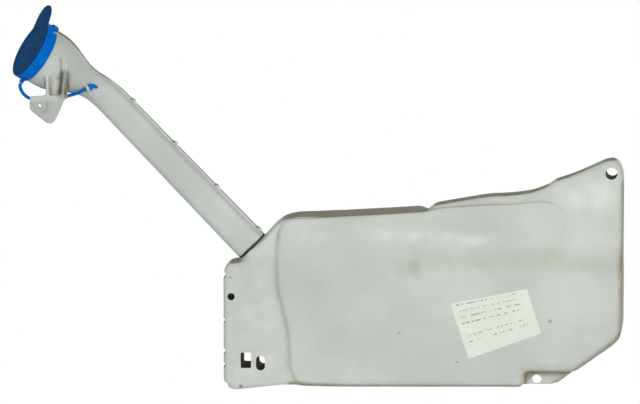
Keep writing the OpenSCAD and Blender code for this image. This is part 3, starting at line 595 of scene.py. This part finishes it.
# Tether: a thin blue strap moulded with the cap, which runs under the mouth and is pulled through an eyelet.
# A barb behind the eyelet keeps it there.
strap_half = 1.6
forward = Vector((0, -1, 0))
route = [(-33.0, 0, -7.4), (-36.5, 0, -9), (-40, 1, -15), (-41, 2, -23), (-37.5, 1.5, -32), (-31.5, -1.5, -41),
         (-22, -8, -50.5), (-14.5, -13.5, -56.5), (-8, -16.5, -60), (-3.3, -17, -63.5), (0, -17, -70)]
route = [Vector(point) for point in route]
eyelet_dir = (route[9] - route[8]).normalized()
eyelet = (route[8] + route[9]) / 2
rings = []
for i in range(8):
    a, b, c, d = route[max(i - 1, 0)], route[i], route[i + 1], route[i + 2]
    for t in (0.0, 0.2, 0.4, 0.6, 0.8):
        rings.append(((2 * b + (c - a) * t + (2 * a - 5 * b + 4 * c - d) * t * t
                       + (3 * b - a - 3 * c + d) * t * t * t) / 2, strap_half))
for past_eyelet, half in [(-3.5, strap_half), (0, strap_half), (2.2, strap_half), (2.5, 3.4), (3.0, 3.6), (5.0, 2.6),
                          (6.9, strap_half)]:
    rings.append((eyelet + past_eyelet * eyelet_dir, half))
rings.append((route[10], 1.3))
strap = bmesh.new()
loop = None
for i, (at, half) in enumerate(rings):
    along = (rings[min(i + 1, len(rings) - 1)][0] - rings[max(i - 1, 0)][0]).normalized()
    outward = (forward - forward.dot(along) * along).normalized()
    turn = Matrix((along.cross(outward) * half, outward * min(half, strap_half), along)).transposed()
    if loop is None:
        loop = bmesh.ops.create_circle(strap, cap_ends=True, segments=14, radius=1)["verts"]
        corners = [v.co.copy() for v in loop]
    else:
        edges = [e for e in strap.edges if e.verts[0] in loop and e.verts[1] in loop]
        grown = bmesh.ops.extrude_edge_only(strap, edges=edges)["geom"]
        fresh = [v for v in grown if isinstance(v, bmesh.types.BMVert)]
        loop = [next(v for v in fresh if any(e.other_vert(v) is old for e in v.link_edges)) for old in loop]
    for vert, corner in zip(loop, corners):
        vert.co = mouth @ ((at + turn @ corner) * mm)
bmesh.ops.contextual_create(strap, geom=loop)
bmesh.ops.recalc_face_normals(strap, faces=strap.faces)
strap.verts.index_update()
for parts in (strap.edges, strap.faces):  # the extrusion's own order changes from run to run
    parts.sort(key=lambda part: 10000 * min(v.index for v in part.verts) + max(v.index for v in part.verts))
tether = as_piece(strap, "cap_strap")
smooth_faces(tether, 60)
tether.data.materials.append(blue)
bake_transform(tether)
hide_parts("cap_tether")

# Label: a cream film sticker on the flat of the front, aged and a little lifted at its corners.
# It carries only rows of faint grey dashes.
label_gap = 0.15
label_thick = 0.25 * mm
left_high, right_high, top_long = 57, 45, 75
rise, tilt = math.radians(11.5), math.radians(18.5)
corner = Vector((-151.5, 0, -122.5))
top_edge = top_long * Vector((math.cos(rise), 0, math.sin(rise)))
down = Vector((math.sin(tilt), 0, -math.cos(tilt)))
sticker = bmesh.new()
bmesh.ops.create_grid(sticker, x_segments=44, y_segments=34, size=0.5, calc_uvs=False)
sheet_map = sticker.loops.layers.uv.new("sheet")
for face in sticker.faces:
    for face_corner in face.loops:
        face_corner[sheet_map].uv = (face_corner.vert.co.x + 0.5, face_corner.vert.co.y + 0.5)
for vert in sticker.verts:
    u, v = vert.co.x + 0.5, 0.5 - vert.co.y
    spot = corner + u * top_edge + v * (left_high - (left_high - right_high) * u) * down
    lift = 0.5 * max(0, u + v - 1.8) / 0.2 + 0.35 * max(0, 0.12 - u - v) / 0.12
    at = np.array([spot.x]), np.array([spot.z])
    stand = label_gap - flange_y + bulge_high * float(crowned(*at)[0]) + float(front_relief(*at)[0]) + lift
    vert.co = Vector((spot.x, -stand, spot.z)) * mm
bmesh.ops.recalc_face_normals(sticker, faces=sticker.faces)
if sticker.faces[:][0].normal.y > 0:
    bmesh.ops.reverse_faces(sticker, faces=sticker.faces)
label = as_piece(sticker, "paper_label")
thick = label.modifiers.new("film", "SOLIDIFY")
thick.thickness = label_thick
thick.offset = 1
apply_modifiers(label)
smooth_faces(label, 40)
cream, place, feed = finish("label_film_cream", Specular_IOR_Level=0.35)
sheet = place.node("ShaderNodeUVMap", {"uv_map": "sheet"})
across_sheet = sheet.node("ShaderNodeSeparateXYZ", None, {0: sheet}, "X")
up_sheet = sheet.node("ShaderNodeSeparateXYZ", None, {0: sheet}, "Y")
age = place.blotches(45.0, 4.0)
rim = age.sum("MAXIMUM", (across_sheet - 0.5).alone("ABSOLUTE"), (up_sheet - 0.5).alone("ABSOLUTE"))
colour = age.between(0.35, 0.75).over(tone(216, 221, 211), tone(222, 226, 216))
colour = (rim.between(0.482, 0.5) * (0.1 + 0.5 * age)).over(colour, tone(176, 168, 140))
rows = up_sheet * 9.0
in_row, row = rows.alone("FRACT"), rows.alone("FLOOR")
dash_at = row.node("ShaderNodeCombineXYZ", None, {"X": across_sheet * 46.0, "Y": row * 7.3, "Z": 0.0})
dashes = dash_at.blotches(1.0, 0.0).between(0.53, 0.56) * in_row.between(0.34, 0.38) * (1 - in_row.between(0.56, 0.6))
printed = (across_sheet.between(0.05, 0.06) * (1 - across_sheet.between(0.86, 0.88))
           * up_sheet.between(0.1, 0.12) * (1 - up_sheet.between(0.95, 0.96)))
pick = row.node("ShaderNodeTexWhiteNoise", {"noise_dimensions": "1D"}, {"W": row}, "Value")
colour = (dashes * printed * pick.between(0.2, 0.3) * 0.75).over(colour, tone(128, 130, 126))
feed(Base_Color=colour, Roughness=0.42 + 0.2 * age)
label.data.materials.append(cream)
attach(label, "reservoir")
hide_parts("label")

# Studio: a pale floor below the hanging part, a large soft lamp ahead of it to the right, and weaker lamps around.
# The backdrop is white, and the camera looks at the front from a little to the right and above.
target = Vector((-0.2766, 0, -0.0313))
camera_far, seen_wide = 6, 0.608


def grey(level):
    return (level, level, level, 1.0)


def direction(azimuth, elevation):
    """From the part towards a lamp or the camera, by angles in degrees."""
    a, e = math.radians(azimuth), math.radians(elevation)
    return Vector((math.sin(a) * math.cos(e), -math.cos(a) * math.cos(e), math.sin(e)))


base = bmesh.new()
bmesh.ops.create_grid(base, x_segments=2, y_segments=2, size=0.75, matrix=Matrix.Translation((-0.27, -0.3, -0.4)))
floor = as_piece(base, "studio_floor")
pale, place, feed = finish("floor_paint", Specular_IOR_Level=0.1)
feed(Base_Color=place.blotches(3.0).between(0.3, 0.7).over(grey(0.86), grey(0.9)),
     Roughness=0.8 + 0.1 * place.blotches(40.0))
floor.data.materials.append(pale)
for name, azimuth, elevation, distance, width, height, power in [
        ("key_softbox", 22, 20, 3.2, 2.6, 1.8, 66), ("front_fill", -22, 6, 3.4, 2.0, 1.6, 20),
        ("back_fill", 165, 6, 3.2, 2.4, 1.6, 42), ("left_fill", -95, 12, 3.0, 1.6, 1.6, 10)]:
    lamp = bpy.data.lights.new(name, "AREA")
    lamp.shape = "RECTANGLE"
    lamp.size, lamp.size_y, lamp.energy = width, height, power
    spot = bpy.data.objects.new(name, lamp)
    toward = direction(azimuth, elevation)
    aim = toward.to_track_quat("Z", "Y").to_matrix().to_4x4()
    spot.matrix_world = Matrix.Translation(target + distance * toward) @ aim
    bpy.context.scene.collection.objects.link(spot)
world = bpy.data.worlds.new("white_studio")
world.use_nodes = True
sky = Wired(world.node_tree, None)
seen = sky.node("ShaderNodeLightPath", None, None, "Is Camera Ray")
shine = Wired(seen.tree, seen.socket.node.outputs["Is Glossy Ray"])
through = Wired(seen.tree, seen.socket.node.outputs["Is Transmission Ray"])
white = seen.sum("MAXIMUM", seen, shine.sum("MAXIMUM", shine, through))
room = world.node_tree.nodes["Background"]
world.node_tree.links.new(white.over(grey(0.27), grey(1.0)).socket, room.inputs["Color"])
room.inputs["Strength"].default_value = 1.0
bpy.context.scene.world = world
bpy.context.scene.view_settings.view_transform = "Standard"
lens = bpy.data.cameras.new("photo_camera")
lens.sensor_width = 36
lens.lens = lens.sensor_width * camera_far / seen_wide
lens.clip_end = 40
camera = bpy.data.objects.new("photo_camera", lens)
camera_azimuth, camera_elevation = 5, 10
back = direction(camera_azimuth, camera_elevation)
right = Vector((math.cos(math.radians(camera_azimuth)), math.sin(math.radians(camera_azimuth)), 0))
aim = Matrix((right, back.cross(right), back)).transposed().to_4x4()
camera.matrix_world = Matrix.Translation(target + camera_far * back) @ aim
bpy.context.scene.collection.objects.link(camera)
bpy.context.scene.camera = camera
